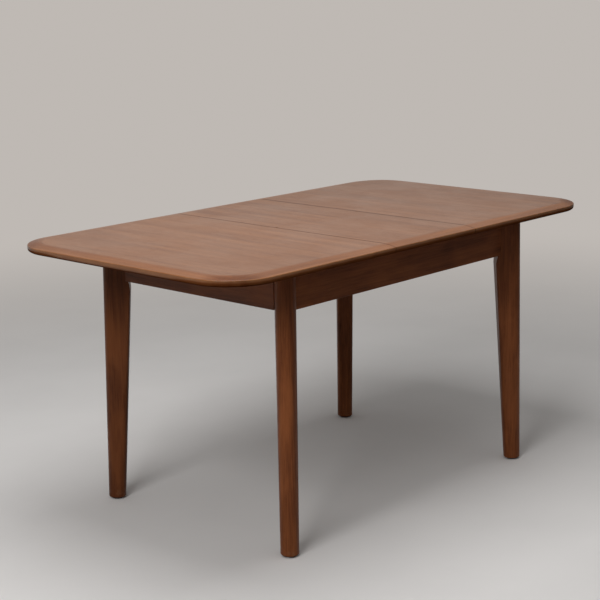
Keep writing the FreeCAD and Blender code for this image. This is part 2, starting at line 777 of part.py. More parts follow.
# Leaf: two wings that meet in a fold along the middle of the table
def leaf_wing(side, layers):
    """A wing whose ends are let in for the hinge plates, one or two plates deep."""
    turn = 0 if side == "rear" else 180
    field = new_body(f"LeafField_{side}")
    inner_y = "fold_gap / 2"
    outer_y = "(table_width / 2 - edging_width - glue_line)"
    plan = [
        (f"-{LEAF_END}", inner_y),
        (LEAF_END, inner_y),
        (LEAF_END, outer_y),
        (f"-{LEAF_END}", outer_y),
    ]
    pad(field, drawn(field, f"{field.Name}Plan", "XY_Plane", plan, UNDERSIDE), "top_thickness")

    ease = "hinge_recess_ease"
    plate_top = "(table_height - hinge_plate_inset)"
    plate_end = f"(hinge_neck + hinge_plate_length + {ease})"
    mouth = f"({HINGE_NECK_LINE} - table_height + 2 * {ease})"
    recess = [
        ("0", f"{plate_top} - hinge_plate_height - {ease}"),
        (plate_end, f"{plate_top} - hinge_plate_height - {ease}"),
        (plate_end, f"{plate_top} + {ease}"),
        (f"{HINGE_NECK_LINE} - {plate_top} + {ease}", f"{plate_top} + {ease}"),
        (mouth, "table_height"),
        (mouth, "table_height + overrun"),
        ("0", "table_height + overrun"),
    ]
    eye_room = [
        ("0", f"{HINGE_Z} - 2 * hinge_eye"),
        (f"2 * {HINGE_SLANT} + {ease}", f"{HINGE_Z} - 2 * hinge_eye"),
        (f"2 * {HINGE_SLANT} + {ease}", "table_height + overrun"),
        ("0", "table_height + overrun"),
    ]
    cuts = {"Recess": (recess, layers)}
    if layers < HINGE_LAYERS:
        cuts["EyeRoom"] = (eye_room, HINGE_LAYERS)
    for cut_name, (corners, deep) in cuts.items():
        depth = f"(hinge_ease + {deep} * {HINGE_LAYER})"
        right = drawn(field, f"{field.Name}{cut_name}Right", "YZ_Plane", corners, LEAF_END)
        pocket(field, right, depth)
        left = drawn(field, f"{field.Name}{cut_name}Left", "YZ_Plane", corners, f"-{LEAF_END}")
        pocket(field, left, depth, upwards=True)
    keep(place(field, turn=turn), f"leaf_field_{side}")

    edging = new_body(f"LeafEdging_{side}")
    section = drawn(
        edging, f"{edging.Name}Section", "YZ_Plane", edging_section("table_width / 2"), f"-{LEAF_END}"
    )
    pad(edging, section, f"2 * {LEAF_END}")
    keep(place(edging, turn=turn), f"leaf_edging_{side}")


def hinge_plate(side, end, layer):
    """A plate in the leaf's end, with an eye that stands up to the pin at the fold."""
    body = new_body(f"HingePlate_{side}_{end}")
    plate_top = "(table_height - hinge_plate_inset)"
    plate_bottom = f"({plate_top} - hinge_plate_height)"
    section = [
        (HINGE_SLANT, f"{HINGE_Z} + {HINGE_SLANT}", "0", HINGE_Z, 1),
        (f"-{HINGE_SLANT}", f"{HINGE_Z} - {HINGE_SLANT}"),
        ("hinge_neck", f"{HINGE_Z} - 2 * {HINGE_SLANT} - hinge_neck"),
        ("hinge_neck", plate_bottom),
        ("hinge_neck + hinge_plate_length", plate_bottom),
        ("hinge_neck + hinge_plate_length", plate_top),
        (f"{HINGE_NECK_LINE} - {plate_top}", plate_top),
    ]
    outer = f"({LEAF_END} - hinge_ease - {layer} * {HINGE_LAYER})"
    start = f"({outer} - hinge_plate_thickness)" if end == "right" else f"-{outer}"
    pad(body, drawn(body, f"{body.Name}Section", "YZ_Plane", section, start), "hinge_plate_thickness")
    hole = circles(
        body,
        f"{body.Name}Hole",
        "YZ_Plane",
        [("0", HINGE_Z)],
        "hinge_pin_diameter + 2 * hinge_ease",
        f"{start} + hinge_plate_thickness",
    )
    pocket(body, hole, "hinge_plate_thickness")
    return place(body, turn=0 if side == "rear" else 180)


def hinge_pin(end):
    length = f"(2 * {HINGE_LAYER} - hinge_ease)"
    outer = f"({LEAF_END} - hinge_ease)"
    start = f"({outer} - {length})" if end == "right" else f"-{outer}"
    return turned_pin(f"HingePin_{end}", "hinge_pin_diameter", length, start, "0", HINGE_Z)


ENDS = ("left", "right")
leaf_wing("rear", 1)
leaf_wing("front", HINGE_LAYERS)
group([hinge_plate("rear", end, 0) for end in ENDS], "fold_hinge_rear_plates")
group([hinge_plate("front", end, 1) for end in ENDS], "fold_hinge_front_plates")
group([hinge_pin(end) for end in ENDS], "fold_hinge_pins")


# Leaf pivot: brackets under the rear wing turn on pins in bushes in the cross rails
def pivot_bracket():
    body = new_body("PivotBracket")
    before = "(pivot_setback - bracket_width / 2)"
    after = "(pivot_setback + bracket_width / 2)"
    web = [
        (before, f"{UNDERSIDE} - bracket_thickness"),
        ("pivot_setback - bracket_eye", PIVOT_Z, "pivot_setback", PIVOT_Z, 1),
        ("pivot_setback + bracket_eye", PIVOT_Z),
        (after, f"{UNDERSIDE} - bracket_thickness"),
        (after, UNDERSIDE),
        (before, UNDERSIDE),
    ]
    pad(
        body,
        drawn(body, "PivotBracketWeb", "YZ_Plane", web, f"{BRACKET_X} - bracket_thickness"),
        "bracket_thickness",
    )
    flange = [
        (f"{BRACKET_X} - bracket_flange", before),
        (BRACKET_X, before),
        (BRACKET_X, after),
        (f"{BRACKET_X} - bracket_flange", after),
    ]
    pad(
        body,
        drawn(body, "PivotBracketFlange", "XY_Plane", flange, f"{UNDERSIDE} - bracket_thickness"),
        "bracket_thickness",
    )
    hole = circles(
        body,
        "PivotBracketHole",
        "YZ_Plane",
        [("pivot_setback", PIVOT_Z)],
        "pin_diameter + 2 * pin_ease",
        BRACKET_X,
    )
    pocket(body, hole, "bracket_thickness")
    return body


def pivot_bush():
    """A flanged bush, turned about its own X axis."""
    body = new_body("PivotBush")
    bore = "pin_diameter / 2 + pin_ease"
    profile = [
        ("-bush_flange_thickness", bore),
        ("cross_rail_thickness", bore),
        ("cross_rail_thickness", "bush_diameter / 2"),
        ("0", "bush_diameter / 2"),
        ("0", "bush_flange / 2"),
        ("-bush_flange_thickness", "bush_flange / 2"),
    ]
    revolve(body, drawn(body, "PivotBushProfile", "XY_Plane", profile), "X_Axis")
    return place(body, CROSS_RAIL_X, "pivot_setback", PIVOT_Z)


right_bracket = pivot_bracket()
left_bracket = mirrored(right_bracket, "PivotBracketLeft", Vector(1, 0, 0))
group([right_bracket, left_bracket], "pivot_brackets")
right_bush = pivot_bush()
group([right_bush, mirrored(right_bush, "PivotBushLeft", Vector(1, 0, 0))], "pivot_bushes")
pin_start = f"({BRACKET_X} - bracket_thickness - pin_head)"
pin_length = f"({CROSS_RAIL_X} + cross_rail_thickness - pin_short - {pin_start})"
right_pin = turned_pin("PivotPin", "pin_diameter", pin_length, pin_start, "pivot_setback", PIVOT_Z)
group([right_pin, mirrored(right_pin, "PivotPinLeft", Vector(1, 0, 0))], "pivot_pins")

doc.recompute()
for item in doc.Objects:
    if "Invalid" in item.State or "Error" in item.State:
        raise RuntimeError(f"{item.Label} did not build: {item.State}")
for node in nodes:
    if node.Shape.isNull() or not node.Shape.isValid():
        raise RuntimeError(f"{node.Label} has no sound shape")

os.makedirs("parts", exist_ok=True)
for node in nodes:
    node.Shape.exportStep(os.path.join("parts", f"{node.Label}.step"))
    print(node.Label, len(node.Shape.Solids), round(node.Shape.Volume))
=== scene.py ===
# %% [markdown]
# # A butterfly leaf table, finished
# The table stands drawn out, with its folding leaf between the two halves of the top.
# Its shapes come ready made from the drawing, so most of this lesson is about finishes:
# stained wood under satin lacquer, waxed runners, plated steel.

# %% Load the drawn parts
import bpy
import math
import random
from mathutils import Matrix, Vector


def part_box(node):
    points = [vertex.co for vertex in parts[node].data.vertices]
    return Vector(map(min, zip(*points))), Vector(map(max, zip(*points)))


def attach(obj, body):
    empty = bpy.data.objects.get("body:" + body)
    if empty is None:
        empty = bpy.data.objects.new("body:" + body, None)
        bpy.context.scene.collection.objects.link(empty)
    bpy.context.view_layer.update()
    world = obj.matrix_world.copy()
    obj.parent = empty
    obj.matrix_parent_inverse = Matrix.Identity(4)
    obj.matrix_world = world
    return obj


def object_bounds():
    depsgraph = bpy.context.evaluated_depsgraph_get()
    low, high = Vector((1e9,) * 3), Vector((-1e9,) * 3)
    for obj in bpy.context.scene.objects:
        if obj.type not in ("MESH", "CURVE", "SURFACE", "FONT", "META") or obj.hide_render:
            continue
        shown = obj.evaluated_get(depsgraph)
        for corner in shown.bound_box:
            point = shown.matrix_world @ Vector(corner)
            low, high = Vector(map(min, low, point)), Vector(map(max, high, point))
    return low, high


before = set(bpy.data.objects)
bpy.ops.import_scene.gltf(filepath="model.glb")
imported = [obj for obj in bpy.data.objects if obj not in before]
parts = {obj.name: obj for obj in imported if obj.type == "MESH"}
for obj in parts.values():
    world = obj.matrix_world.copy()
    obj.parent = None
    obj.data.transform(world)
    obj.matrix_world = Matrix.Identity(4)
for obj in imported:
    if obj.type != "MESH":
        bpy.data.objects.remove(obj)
drawn_low, drawn_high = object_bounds()
print(len(parts), "drawn parts, size", [round(side, 3) for side in drawn_high - drawn_low])

# %% [markdown]
# ## A small bench of tools
# A finish is a node tree: coordinates go in at the left, pass through noises and ramps, and
# reach the shader at the right. Four helpers keep the trees readable: one starts a finish,
# one adds a node, one joins or sets a socket, and one does a step of arithmetic.

# %% Helpers for node trees
def new_finish(name):
    """A material with its node tree and its shader."""
    finish = bpy.data.materials.new(name)
    finish.use_nodes = True
    tree = finish.node_tree
    return finish, tree, tree.nodes["Principled BSDF"]


def node(tree, kind, **settings):
    """A new node with its settings."""
    made = tree.nodes.new(kind)
    for setting, value in settings.items():
        setattr(made, setting, value)
    return made


def feed(tree, source, socket):
    """Join a socket to a socket, or set a plain value on it."""
    if isinstance(source, bpy.types.NodeSocket):
        tree.links.new(source, socket)
    else:
        socket.default_value = source


def sum_up(tree, operation, first, second=0.0, third=0.0):
    """One step of arithmetic."""
    made = node(tree, "ShaderNodeMath", operation=operation)
    for socket, source in zip(made.inputs, (first, second, third)):
        feed(tree, source, socket)
    return made.outputs["Value"]


print("helpers ready")

# %% [markdown]
# ## Reading wood
# Wood is the same everywhere and different everywhere: broad bands of growth, narrow streaks
# and short dark pores, all drawn out along the grain. Each is one noise, stretched. An image
# would do it too, but a noise in Object coordinates runs through the piece like real grain,
# so the end of a board and its face agree. Textures here are measured in metres: a Mapping
# node of the Texture kind turns the point into the grain's own direction first and then
# divides by the size of the feature, so that a streak can be asked for as so long and so wide.

# %% Stretched noises
ALONG_X = (0.0, 0.0, 0.0)
ALONG_Y = (0.0, 0.0, math.pi / 2)
ALONG_Z = (0.0, -math.pi / 2, 0.0)
MOST_NOISE = (0.3, 0.7)


def own_place(tree):
    """The point being shaded, in the part's own metres."""
    return node(tree, "ShaderNodeTexCoord").outputs["Object"]


def streaks(tree, place, grain, length, width, detail=4.0, twist=0.4, shift=0.0):
    """Noise drawn out along the grain, in features so long and so wide."""
    turned = node(tree, "ShaderNodeMapping", vector_type="TEXTURE")
    feed(tree, place, turned.inputs["Vector"])
    turned.inputs["Location"].default_value = (shift, shift, shift)
    turned.inputs["Rotation"].default_value = grain
    turned.inputs["Scale"].default_value = (length, width, width)
    noise = node(tree, "ShaderNodeTexNoise")
    feed(tree, turned.outputs["Vector"], noise.inputs["Vector"])
    noise.inputs["Scale"].default_value = 1.0
    noise.inputs["Detail"].default_value = detail
    noise.inputs["Distortion"].default_value = twist
    return noise.outputs["Fac"]


def patches(tree, place, size, detail, twist=0.0, shift=0.0):
    """Noise with no direction, in features of one size."""
    return streaks(tree, place, ALONG_X, size, size, detail, twist, shift)


print("grain runs along", ALONG_X, ALONG_Y, "or", ALONG_Z)

# %% [markdown]
# ## From noise to colour and relief
# A noise by itself is a grey fog. A ramp stretches the part of it that matters, a row of
# colour stops turns it into a stain, and one colour is laid on another where a value says so.
# A Mix node has sockets for every kind of data, found by their number, so the numbers are
# named here. Relief comes from a Bump node, which asks how deep the height goes.

# %% Ramps, colours and relief
MIX_AMOUNT = 0
VECTOR_UNDER, VECTOR_OVER, VECTOR_MIXED = 4, 5, 1
COLOUR_UNDER, COLOUR_OVER, COLOUR_MIXED = 6, 7, 2


def ramp(tree, source, low, high, from_value=0.0, to_value=1.0):
    """Stretch the part of a value between low and high, softly."""
    made = node(tree, "ShaderNodeMapRange", interpolation_type="SMOOTHSTEP")
    feed(tree, source, made.inputs["Value"])
    ends = {"From Min": low, "From Max": high, "To Min": from_value, "To Max": to_value}
    for socket, number in ends.items():
        made.inputs[socket].default_value = number
    return made.outputs["Result"]


def colours(tree, source, stops):
    """A colour for each stop along a value."""
    made = node(tree, "ShaderNodeValToRGB")
    feed(tree, source, made.inputs["Fac"])
    band = made.color_ramp
    while len(band.elements) < len(stops):
        band.elements.new(1.0)
    for element, (position, colour) in zip(band.elements, stops):
        element.position = position
        element.color = (*colour, 1.0)
    return made.outputs["Color"]


def tint(tree, kind, amount, under, over):
    """Lay one colour on another, by an amount."""
    made = node(tree, "ShaderNodeMix", data_type="RGBA", blend_type=kind)
    feed(tree, amount, made.inputs[MIX_AMOUNT])
    for number, colour in ((COLOUR_UNDER, under), (COLOUR_OVER, over)):
        feed(tree, (*colour, 1.0) if isinstance(colour, tuple) else colour, made.inputs[number])
    return made.outputs[COLOUR_MIXED]


def darken(tree, wood, where, share, tone):
    """Multiply a colour by a tone where a value is 1, by at most a share."""
    return tint(tree, "MULTIPLY", sum_up(tree, "MULTIPLY", where, share), wood, tone)


def relief(tree, shader, height, depth):
    """Let a height show in the light, as so many metres of depth."""
    made = node(tree, "ShaderNodeBump")
    made.inputs["Strength"].default_value = 1.0
    made.inputs["Distance"].default_value = depth
    feed(tree, height, made.inputs["Height"])
    feed(tree, made.outputs["Normal"], shader.inputs["Normal"])


print("most of a noise lies between", *MOST_NOISE)

# %% [markdown]
# ## One recipe for all the woods
# Every wooden piece has bands, streaks and pores, only in other colours and sizes. The three
# noises differ in kind, which is their detail and their twist, and are shifted so that no two
# of them line up. The recipe returns the tree half done, so that a finish can add what is its
# own, and the dark line with painted shade along a seam, before the colour reaches the shader.
# Pores are a little rougher than the lacquer between them and lie a few hundredths of a millimetre
# deep.

# %% The wood recipe
BAND_KIND, STREAK_KIND, PORE_KIND = (3.0, 0.8), (5.0, 0.3), (2.0, 0.1)
STREAK_SHIFT, PORE_SHIFT = 3.1, 7.7
BAND_STRETCH = 20
STREAK_STRETCH = 26
STREAK_SHARE = 0.45
PORE_LENGTH = 0.022
PORE_WIDTH = 0.0007
PORE_FROM, PORE_FULL = 0.56, 0.70
PORE_DEPTH = 0.00006
PORE_ROUGHNESS = 0.12
GLOSS_CLOUD = 0.16
GLOSS_SPREAD = 0.035


def grown_wood(tree, place, grain, stops, shift=0.0, band=0.028, streak=0.005):
    """Colour of a board, and its pores as a value from 0 to 1."""
    long_band, long_streak = BAND_STRETCH * band, STREAK_STRETCH * streak
    bands = streaks(tree, place, grain, long_band, band, *BAND_KIND, shift)
    lines = streaks(tree, place, grain, long_streak, streak, *STREAK_KIND, shift + STREAK_SHIFT)
    flecks = streaks(tree, place, grain, PORE_LENGTH, PORE_WIDTH, *PORE_KIND, shift + PORE_SHIFT)
    broad = sum_up(tree, "MULTIPLY", bands, 1.0 - STREAK_SHARE)
    tone = sum_up(tree, "MULTIPLY_ADD", lines, STREAK_SHARE, broad)
    return colours(tree, tone, stops), ramp(tree, flecks, PORE_FROM, PORE_FULL)


def lacquer(tree, shader, place, pores, roughness, depth=PORE_DEPTH, polish=0.0):
    """Satin lacquer: small clouds in the gloss, and pores that it has not quite filled."""
    clouds = patches(tree, place, GLOSS_CLOUD, detail=3.0, shift=11.0)
    even = ramp(tree, clouds, *MOST_NOISE, roughness - GLOSS_SPREAD, roughness + GLOSS_SPREAD)
    rough = sum_up(tree, "MULTIPLY_ADD", pores, PORE_ROUGHNESS, even)
    feed(tree, sum_up(tree, "SUBTRACT", rough, polish), shader.inputs["Roughness"])
    relief(tree, shader, sum_up(tree, "SUBTRACT", 1.0, pores), depth)


print("pores", PORE_DEPTH * 1000, "mm deep")

# %% [markdown]
# ## How far from the rim
# The top has one outline, a rectangle with rounded corners. The distance in from it tells the
# field from the edging, follows the corners, and lets polish wear along the rim. It is found
# the way a compass would: fold the point into one quarter, measure from the corner's centre.

# %% Distance in from the rim
HALF_LENGTH = drawn_high.x
HALF_WIDTH = drawn_high.y
CORNER = 0.126
EDGING = HALF_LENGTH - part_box("top_field_right")[1].x
SEAM_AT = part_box("top_field_right")[0].x


def vector_step(tree, operation, first, second=(0.0, 0.0, 0.0)):
    """One step of arithmetic on points."""
    made = node(tree, "ShaderNodeVectorMath", operation=operation)
    feed(tree, first, made.inputs[0])
    feed(tree, second, made.inputs[1])
    return made.outputs["Value" if operation == "LENGTH" else "Vector"]


def folded(tree, place):
    """The point moved into the quarter where X and Y are positive."""
    return vector_step(tree, "ABSOLUTE", place)


def inset(tree, place):
    """How far a point of the top lies in from its outline."""
    centre = (HALF_LENGTH - CORNER, HALF_WIDTH - CORNER, drawn_high.z)
    past = vector_step(tree, "SUBTRACT", folded(tree, place), centre)
    past = vector_step(tree, "MAXIMUM", past)
    return sum_up(tree, "SUBTRACT", CORNER, vector_step(tree, "LENGTH", past))


def beside(tree, value, at, reach):
    """1 at a value, falling to 0 at a reach on both sides."""
    gap = sum_up(tree, "ABSOLUTE", sum_up(tree, "SUBTRACT", value, at))
    return ramp(tree, gap, 0.0, reach, 1.0, 0.0)


def axis_of(tree, place, axis):
    """One coordinate of a point."""
    split = node(tree, "ShaderNodeSeparateXYZ")
    feed(tree, place, split.inputs["Vector"])
    return split.outputs[axis]


print("seams at", round(SEAM_AT, 4), "from the middle, corners", CORNER)

# %% [markdown]
# ## The field of the top
# The flat middle of the top is veneer, laid with its grain across the table so that it runs
# on from the halves into the leaf. It is cut in leaves about a hand wide, and each leaf
# takes the stain a little differently. Seen low it looks greyer than it is, because satin
# lacquer mirrors the pale room: that is left to the shader and not painted in.

# %% Field veneer
VENEER_STOPS = [
    (0.27, (0.178, 0.067, 0.029)),
    (0.50, (0.268, 0.113, 0.051)),
    (0.73, (0.358, 0.159, 0.074)),
]
VENEER_LEAF = 0.165
LEAF_TONE, LEAF_SHARE = (0.80, 0.77, 0.74), 0.30
VENEER_PORE, VENEER_PORE_SHARE = (0.55, 0.48, 0.42), 0.5
SEAM_SHADE_REACH = 0.0040
TOP_GLOSS = 0.5
TOP_ROUGHNESS = 0.32
# Dark glue lines at the joints; in the two seams the dark is also painted shade.
JOINT_AND_SEAM_SHADE_TONE = (0.10, 0.07, 0.06)
JOINT_REACH, JOINT_SHARE = 0.0012, 0.6


def seam_shade(tree, place, wood, reach):
    """Darken the two seams beside the leaf, as a dark joint and as painted shade of the gap, with
    no gloss there.
    """
    seam = beside(tree, axis_of(tree, folded(tree, place), "X"), SEAM_AT, reach)
    gloss = ramp(tree, seam, 0.0, 1.0, TOP_GLOSS, 0.0)
    return tint(tree, "MULTIPLY", seam, wood, JOINT_AND_SEAM_SHADE_TONE), gloss


def field_veneer():
    finish, tree, shader = new_finish("field_veneer")
    place = own_place(tree)
    wood, pores = grown_wood(tree, place, ALONG_Y, VENEER_STOPS)
    along = sum_up(tree, "DIVIDE", axis_of(tree, place, "X"), VENEER_LEAF)
    lot = node(tree, "ShaderNodeTexWhiteNoise", noise_dimensions="1D")
    feed(tree, sum_up(tree, "FLOOR", along), lot.inputs["W"])
    wood = darken(tree, wood, lot.outputs["Value"], LEAF_SHARE, LEAF_TONE)
    wood = darken(tree, wood, pores, VENEER_PORE_SHARE, VENEER_PORE)
    # A dark joint and painted shade along the seams.
    wood, gloss = seam_shade(tree, place, wood, SEAM_SHADE_REACH)
    joint = beside(tree, inset(tree, place), EDGING, JOINT_REACH)
    wood = darken(tree, wood, joint, JOINT_SHARE, JOINT_AND_SEAM_SHADE_TONE)
    feed(tree, wood, shader.inputs["Base Color"])
    feed(tree, gloss, shader.inputs["Specular IOR Level"])
    lacquer(tree, shader, place, pores, TOP_ROUGHNESS)
    return finish


FIELD_VENEER = field_veneer()
print(FIELD_VENEER.name, "in leaves of", VENEER_LEAF, "m")

# %% [markdown]
# ## Grain round the corners
# Solid wood frames the veneer. Its grain follows each side, so at a corner two directions meet
# on the diagonal. Swapping X and Y beyond that diagonal turns the grain with no second
# material. Round the corner the rim cuts across the grain, and end grain drinks in both stain
# and lacquer, so the bend will be darker and duller than the straight sides, and most so at
# its rim. It is found as a share, from the distance in and from how far round the bend is.

# %% Grain of the edging
MITRE = (HALF_LENGTH - CORNER) - (HALF_WIDTH - CORNER)
END_GRAIN_FULL, END_GRAIN_NONE = 0.015, 0.050


def along_each_side(tree, place, past_mitre):
    """The point as the board has it: X and Y change places at the table's two ends."""
    swapped = node(tree, "ShaderNodeCombineXYZ")
    for axis, other in (("X", "Y"), ("Y", "X"), ("Z", "Z")):
        feed(tree, axis_of(tree, place, other), swapped.inputs[axis])
    choice = node(tree, "ShaderNodeMix", data_type="VECTOR")
    feed(tree, sum_up(tree, "GREATER_THAN", past_mitre, MITRE), choice.inputs[MIX_AMOUNT])
    feed(tree, place, choice.inputs[VECTOR_UNDER])
    feed(tree, swapped.outputs["Vector"], choice.inputs[VECTOR_OVER])
    return choice.outputs[VECTOR_MIXED]


def end_grain(tree, place, quarter):
    """How far the rim cuts across the grain: only where a corner bends, and most at its rim."""
    share = ramp(tree, inset(tree, place), END_GRAIN_FULL, END_GRAIN_NONE, 1.0, 0.0)
    for axis, half in (("X", HALF_LENGTH), ("Y", HALF_WIDTH)):
        bend = ramp(tree, axis_of(tree, quarter, axis), half - CORNER, half - CORNER / 2)
        share = sum_up(tree, "MULTIPLY", share, bend)
    return share


print("mitres where X passes Y by", round(MITRE, 3))

# %% [markdown]
# ## The rim, its wear and its painted shade
# The edging falls away to a thin rim. Sleeves polish the rim's upper arris, so it wears lighter
# and smoother there, and that lighter colour is partly a painted highlight. Below it the rim is
# painted dark and dull, as painted shade: a ramp on the height tells the two apart. At the middle
# of each end the painted shade starts further down, leaving more of the rim light.

# %% Wear along the rim
TOP_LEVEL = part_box("top_field_right")[1].z
# Wear on the upper arris, lightened further as a painted highlight.
RIM_WEAR_AND_HIGHLIGHT, RIM_WEAR_AND_HIGHLIGHT_SHARES = (0.38, 0.17, 0.065), (0.15, 0.60)
RIM_PATCH, RIM_NOISE = 0.05, (0.35, 0.65)
RIM_AT, RIM_REACH = 0.0008, 0.0024
# Painted shade on the rim below its arris and under the edging, dark and dull.
RIM_SHADE = (0.60, 0.48, 0.42)
RIM_LOW = TOP_LEVEL - 0.0140
RIM_HIGH = TOP_LEVEL - 0.0085
END_DROP_FULL, END_DROP_NONE = 0.18, 0.28
END_SHADE_DROP = 0.0045


def worn_and_shaded_rim(tree, place, quarter, wood):
    """Colour with the rim's wear, painted highlight and painted shade, its upper arris, and 1 above
    the painted shade.
    """
    rubbed = patches(tree, place, RIM_PATCH, detail=4.0, shift=5.0)
    arris = beside(tree, inset(tree, place), RIM_AT, RIM_REACH)
    worn = sum_up(tree, "MULTIPLY", arris, ramp(tree, rubbed, *RIM_NOISE, *RIM_WEAR_AND_HIGHLIGHT_SHARES))
    # The arris is lighter from wear and from a painted highlight.
    wood = tint(tree, "MIX", worn, wood, RIM_WEAR_AND_HIGHLIGHT)
    # The painted shade starts lower at the middle of each end.
    end_drop = ramp(tree, axis_of(tree, quarter, "Y"), END_DROP_FULL, END_DROP_NONE, 1.0, 0.0)
    level = sum_up(tree, "MULTIPLY_ADD", end_drop, END_SHADE_DROP, axis_of(tree, place, "Z"))
    above = ramp(tree, level, RIM_LOW, RIM_HIGH)
    wood = tint(tree, "MULTIPLY", sum_up(tree, "SUBTRACT", 1.0, above), wood, RIM_SHADE)
    return wood, arris, above


# Below this level the rim carries painted shade.
print("stain dark below", round(RIM_LOW, 4), "and worn above", round(RIM_HIGH, 4))

# %% [markdown]
# ## The edging
# The finish puts these together in the order in which the real one came about: the board with
# its pores, the mitre and the seams with their painted shade, the stain in the end grain, and
# then the years of use, with a painted highlight on the arris and painted shade below it.

# %% Edging wood
EDGING_STOPS = [
    (0.28, (0.186, 0.061, 0.018)),
    (0.50, (0.268, 0.097, 0.032)),
    (0.72, (0.350, 0.133, 0.047)),
]
EDGING_PORE, EDGING_PORE_SHARE = (0.55, 0.46, 0.40), 0.5
MITRE_REACH, MITRE_SHARE = 0.0010, 0.45
END_GRAIN, END_GRAIN_DULL = (0.66, 0.56, 0.48), 0.5
RIM_POLISH = 0.24


def edging_wood():
    finish, tree, shader = new_finish("edging_wood")
    place = own_place(tree)
    quarter = folded(tree, place)
    past_mitre = sum_up(tree, "SUBTRACT", axis_of(tree, quarter, "X"), axis_of(tree, quarter, "Y"))
    board = along_each_side(tree, place, past_mitre)
    wood, pores = grown_wood(tree, board, ALONG_X, EDGING_STOPS, shift=1.7)
    wood = darken(tree, wood, pores, EDGING_PORE_SHARE, EDGING_PORE)
    wood = darken(tree, wood, beside(tree, past_mitre, MITRE, MITRE_REACH), MITRE_SHARE, JOINT_AND_SEAM_SHADE_TONE)
    # A dark joint and painted shade along the seams, narrower on the edging.
    wood, gloss = seam_shade(tree, place, wood, SEAM_SHADE_REACH / 2)
    across = end_grain(tree, place, quarter)
    wood = tint(tree, "MULTIPLY", across, wood, END_GRAIN)
    dull = sum_up(tree, "MULTIPLY", across, END_GRAIN_DULL)
    gloss = sum_up(tree, "MULTIPLY", gloss, sum_up(tree, "SUBTRACT", 1.0, dull))
    # The rim's wear and painted highlight, and the painted shade below it.
    wood, arris, above = worn_and_shaded_rim(tree, place, quarter, wood)
    feed(tree, wood, shader.inputs["Base Color"])
    feed(tree, sum_up(tree, "MULTIPLY", gloss, above), shader.inputs["Specular IOR Level"])
    polish = sum_up(tree, "MULTIPLY", arris, RIM_POLISH)
    lacquer(tree, shader, place, pores, TOP_ROUGHNESS, polish=polish)
    return finish


EDGING_WOOD = edging_wood()
print(EDGING_WOOD.name, "is", round(EDGING, 4), "m wide")

# %% [markdown]
# ## Legs and aprons
# The frame is solid wood in a deeper red-brown stain, with the grain up the legs and along the
# aprons. One recipe takes the grain's direction and makes the finishes. One leg takes a darker
# copy of the finish, as painted shade, and the aprons a lighter copy, as painted light; on each
# the amber of the bare wood comes through in patches where the stain went on thin. Feet get kicked
# and aprons are brushed along their lower arris, so both wear there.

# %% Frame wood
FRAME_STOPS = [
    (0.30, (0.108, 0.028, 0.010)),
    (0.50, (0.216, 0.065, 0.021)),
    (0.70, (0.322, 0.104, 0.034)),
]
FRAME_BAND, FRAME_STREAK = 0.020, 0.0035
FRAME_PORE, FRAME_PORE_SHARE = (0.50, 0.42, 0.38), 0.6
FRAME_ROUGHNESS = 0.38
# Shares for the leg with painted shade, the aprons with painted light, and the amber patches.
LEG_SHADE_SHARE, APRON_LIGHT_SHARE, AMBER_SHARE = 0.66, 1.16, 1.30
THIN_LENGTH, THIN_WIDTH = 0.20, 0.06
THIN_NOISE, THIN_SHARE = (0.42, 0.68), 0.45
SCUFF, SCUFF_SIZE = (0.30, 0.15, 0.075), 0.012
SCUFF_NOISE, SCUFF_SHARE = (0.50, 0.66), 0.45
FOOT_WEAR = 0.045
APRON_WEAR = 0.004
APRON_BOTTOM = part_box("apron_front")[0].z
LEG_GLOSS, LONG_APRON_GLOSS, END_APRON_GLOSS = 0.15, 0.12, 0.30


def lit(colour, share):
    """A colour made lighter or darker by a share."""
    return tuple(share * part for part in colour)


def frame_wood(name, grain, worn_from, worn_to, shift, gloss, lit_copy_share=1.0):
    finish, tree, shader = new_finish(name)
    place = own_place(tree)
    stops = [(at, lit(colour, lit_copy_share)) for at, colour in FRAME_STOPS]
    wood, pores = grown_wood(tree, place, grain, stops, shift, FRAME_BAND, FRAME_STREAK)
    wood = darken(tree, wood, pores, FRAME_PORE_SHARE, FRAME_PORE)
    lightest = stops[-1][1]
    thin_stain = streaks(tree, place, grain, THIN_LENGTH, THIN_WIDTH, detail=3.0, shift=4.0)
    thin_stain = ramp(tree, thin_stain, *THIN_NOISE, 0.0, THIN_SHARE)
    wood = tint(tree, "MIX", thin_stain, wood, lit(lightest, AMBER_SHARE))
    rubbed = patches(tree, place, SCUFF_SIZE, detail=5.0, shift=9.0)
    low = ramp(tree, axis_of(tree, place, "Z"), worn_from, worn_to, 1.0, 0.0)
    worn = sum_up(tree, "MULTIPLY", low, ramp(tree, rubbed, *SCUFF_NOISE, 0.0, SCUFF_SHARE))
    feed(tree, tint(tree, "MIX", worn, wood, SCUFF), shader.inputs["Base Color"])
    shader.inputs["Specular IOR Level"].default_value = gloss
    lacquer(tree, shader, place, pores, FRAME_ROUGHNESS)
    return finish


def leg_finish(name, shift, lit_copy_share=1.0):
    return frame_wood(name, ALONG_Z, 0.0, FOOT_WEAR, shift, LEG_GLOSS, lit_copy_share)


def apron_finish(name, grain, shift, gloss):
    worn_to = APRON_BOTTOM + APRON_WEAR
    # The aprons take a lighter copy of the frame finish, as painted light.
    return frame_wood(name, grain, APRON_BOTTOM, worn_to, shift, gloss, APRON_LIGHT_SHARE)


LEG_WOOD = leg_finish("leg_wood", 0.3)
